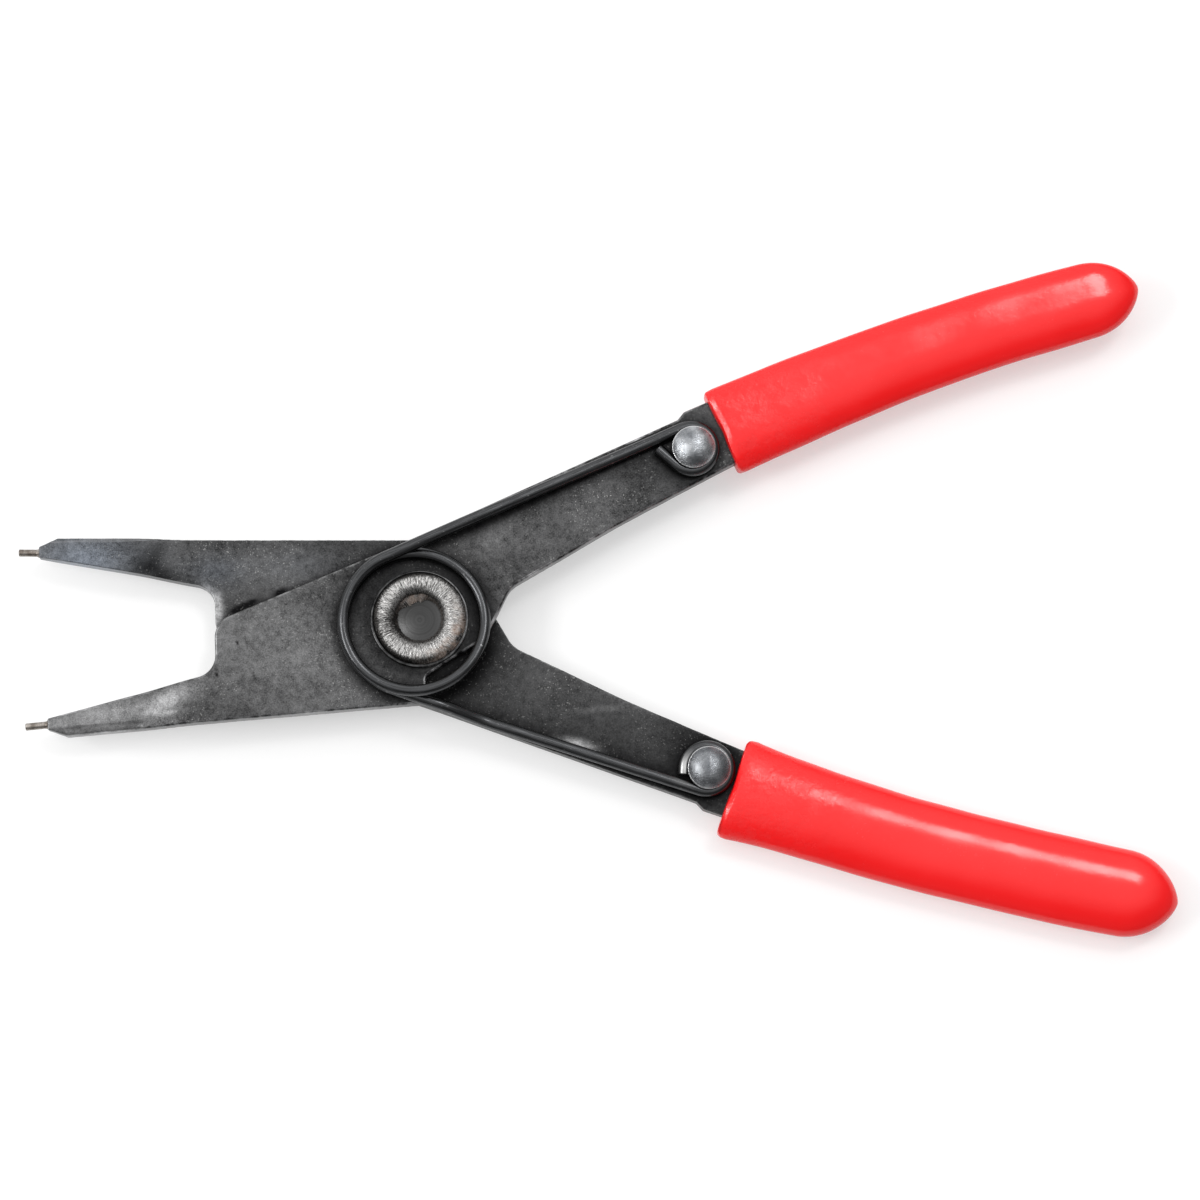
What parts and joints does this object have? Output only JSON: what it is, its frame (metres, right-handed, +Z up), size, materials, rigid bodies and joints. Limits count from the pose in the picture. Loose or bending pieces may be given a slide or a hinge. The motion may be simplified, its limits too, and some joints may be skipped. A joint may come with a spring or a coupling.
{
  "type": "circlip pliers",
  "caption": "Internal circlip pliers: lapped stamped-steel levers on a hollow rivet, wire return spring hooked on domed rivets, fine tip pins and dipped vinyl grips.",
  "frame": {"origin": "pivot axis on the flat face of the pivot rivet's head, on the plane that the pliers lie on", "axes": "+X from the pivot to the handles, +Y to the front lever's handle, +Z up from the surface the pliers lie on"},
  "size_m": [0.1959, 0.1181, 0.0128],
  "materials": {
    "black_steel": "black oxide on stamped steel, satin, scuffed",
    "bright_steel": "bare rolled steel with radial forming marks",
    "polished_steel": "polished domed rivet steel",
    "spring_wire": "blackened spring wire, smooth",
    "tip_steel": "ground tip steel, slightly browned",
    "red_vinyl": "dipped vinyl, glossy, softly rounded"
  },
  "bodies": {
    "back_lever": {"back_lever_plate": "black_steel", "pivot_rivet": "bright_steel", "pivot_washer": "black_steel", "return_spring": "spring_wire", "back_spring_rivet": "polished_steel", "back_grip": "red_vinyl", "back_tip_pin": "tip_steel"},
    "front_lever": {"front_lever_plate": "black_steel", "front_spring_rivet": "polished_steel", "front_grip": "red_vinyl", "front_tip_pin": "tip_steel"}
  },
  "joints": [
    {"name": "squeeze", "type": "hinge", "parent": "back_lever", "child": "front_lever", "pos_m": [0, 0, 0.00562], "axis": [0, 0, -1], "range_deg": [0, 23], "stiffness_Nm_per_rad": 1.1, "deforming": ["return_spring"]}
  ]
}
